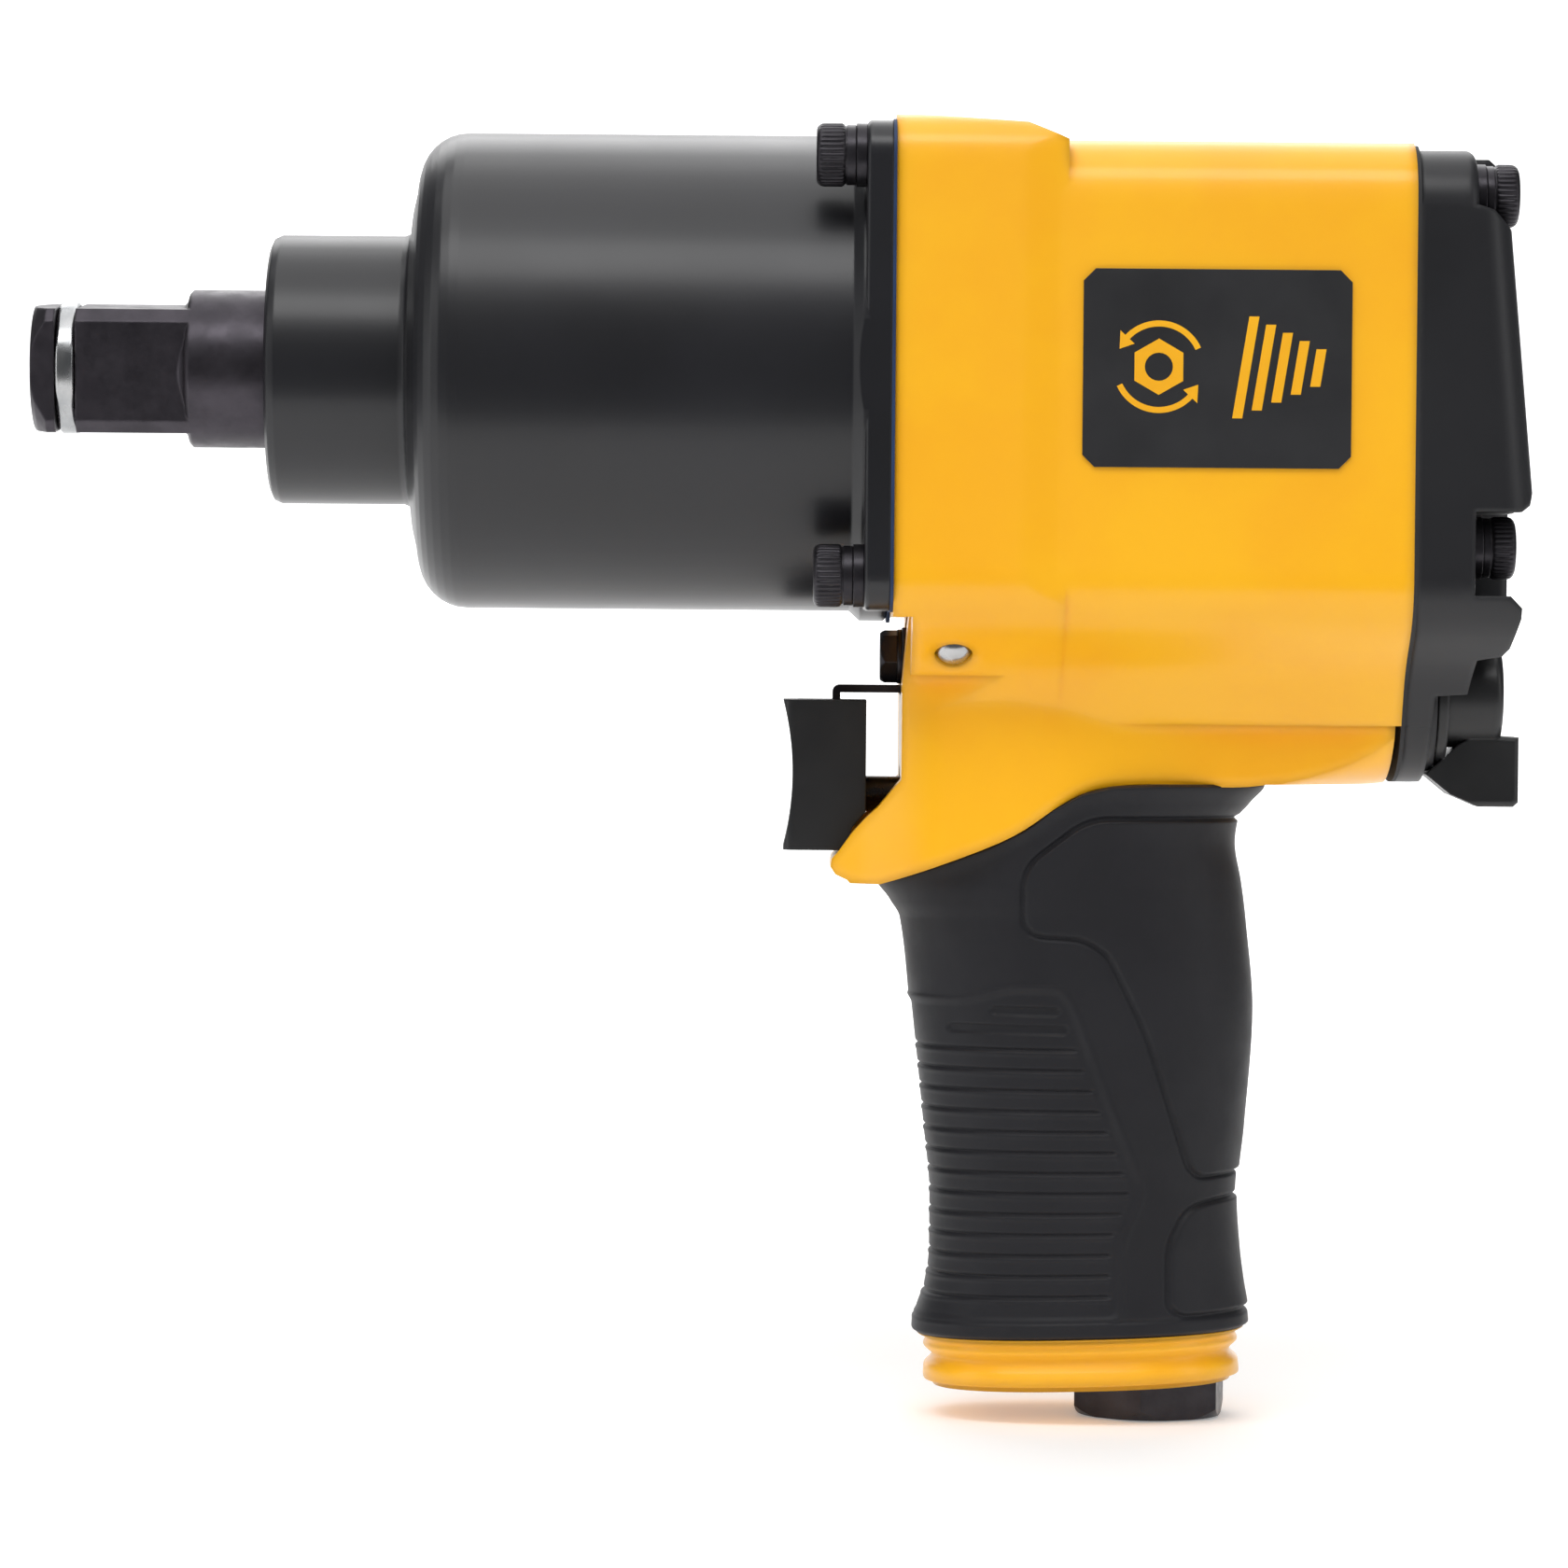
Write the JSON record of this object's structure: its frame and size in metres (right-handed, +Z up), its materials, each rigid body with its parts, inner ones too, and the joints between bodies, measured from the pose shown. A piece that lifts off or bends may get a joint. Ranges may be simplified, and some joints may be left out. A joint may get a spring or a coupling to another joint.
{
  "type": "pneumatic impact wrench",
  "caption": "Air impact wrench: square drive anvil in a round hammer case, bolted motor housing, pistol grip with trigger, exhaust and air inlet.",
  "frame": {"origin": "on the drive axis, where the square of the anvil meets its round shaft", "axes": "-X along the drive axis towards the socket end, +X towards the rear cover, +Z up, the handle hangs towards -Z"},
  "size_m": [0.23, 0.0752, 0.1995],
  "materials": {
    "yellow_paint": "satin yellow paint on a cast housing",
    "black_paint": "satin black paint",
    "black_cover": "semi-matt black paint on a casting",
    "blue_gasket": "blue compressed fibre gasket",
    "dark_gasket": "dark compressed fibre gasket",
    "black_oxide": "black oxide steel",
    "bronze": "machined bronze",
    "drive_steel": "dark phosphated forged steel, lightly worn",
    "bright_steel": "bright steel",
    "machined_steel": "ground alloy steel",
    "machined_iron": "machined cast iron",
    "vane_composite": "brown phenolic laminate",
    "grip_rubber": "charcoal soft-touch rubber",
    "seal_rubber": "black nitrile rubber",
    "black_plastic": "black moulded plastic",
    "label": "dark printed label, left blank"
  },
  "bodies": {
    "housing": {"motor_housing": "yellow_paint", "hammer_case": "black_paint", "case_gasket": "blue_gasket", "rear_gasket": "dark_gasket", "rear_cover": "black_cover", "front_cap_screws": "black_oxide", "front_spring_washers": "black_oxide", "rear_cap_screws": "black_oxide", "rear_spring_washers": "black_oxide", "anvil_bushing": "bronze", "motor_cylinder": "machined_iron", "cylinder_dowel": "bright_steel", "front_end_plate": "machined_iron", "rear_end_plate": "machined_iron", "front_bearing_outer": "bright_steel", "front_bearing_balls": "bright_steel", "rear_bearing_outer": "bright_steel", "rear_bearing_balls": "bright_steel", "passage_plug": "bright_steel", "grip": "grip_rubber", "exhaust_deflector": "yellow_paint", "inlet_bushing": "black_oxide", "inlet_strainer": "bright_steel", "throttle_seat": "seal_rubber", "throttle_spring": "bright_steel", "trigger_bushing": "bronze", "guide_bracket": "black_oxide", "guide_washer": "black_oxide", "guide_screw": "black_oxide", "reverse_valve_sleeve": "bronze", "detent_ball": "bright_steel", "detent_spring": "bright_steel", "label_plate": "label"},
    "rotor_set": {"rotor": "machined_steel", "rotor_vanes": "vane_composite", "hammer_cage": "machined_steel", "hammer_pins": "bright_steel", "front_bearing_inner": "bright_steel", "rear_bearing_inner": "bright_steel"},
    "anvil_set": {"anvil": "drive_steel", "friction_ring": "bright_steel", "friction_o_ring": "seal_rubber"},
    "front_dog": {"front_hammer_dog": "machined_steel"},
    "rear_dog": {"rear_hammer_dog": "machined_steel"},
    "trigger_set": {"trigger": "black_plastic", "trigger_rod": "machined_steel"},
    "throttle": {"throttle_valve": "bronze"},
    "reverse_set": {"reverse_valve": "machined_steel", "reverse_knob": "black_plastic", "knob_screw": "black_oxide"}
  },
  "joints": [
    {"name": "rotor_spin", "type": "hinge", "parent": "housing", "child": "rotor_set", "pos_m": [0.1, 0, 0], "axis": [1, 0, 0], "continuous": true},
    {"name": "anvil_spin", "type": "hinge", "parent": "housing", "child": "anvil_set", "pos_m": [0.02, 0, 0], "axis": [1, 0, 0], "continuous": true},
    {"name": "front_dog_rock", "type": "hinge", "parent": "rotor_set", "child": "front_dog", "pos_m": [0.0595, 0, 0.0255], "axis": [1, 0, 0], "range_deg": [-4.5, 4.5]},
    {"name": "rear_dog_rock", "type": "hinge", "parent": "rotor_set", "child": "rear_dog", "pos_m": [0.0784, 0, -0.0255], "axis": [1, 0, 0], "range_deg": [-4.5, 4.5]},
    {"name": "trigger_pull", "type": "slide", "parent": "housing", "child": "trigger_set", "axis": [1, 0, 0], "range_m": [0, 0.005], "stiffness_N_per_m": 1500, "springref_m": -0.004},
    {"name": "throttle_tilt", "type": "hinge", "parent": "housing", "child": "throttle", "pos_m": [0.1439, 0, -0.0858], "axis": [0, 1, 0], "range_deg": [0, 15], "deforming": ["throttle_spring"]},
    {"name": "reverse_turn", "type": "hinge", "parent": "housing", "child": "reverse_set", "pos_m": [0.19, 0, -0.0489], "axis": [1, 0, 0], "range_deg": [-50, 50]}
  ],
  "couplings": [
    {"joint": "anvil_spin", "follows": "rotor_spin", "ratio": 1},
    {"joint": "throttle_tilt", "follows": "trigger_pull", "rad_per_m": 52}
  ]
}
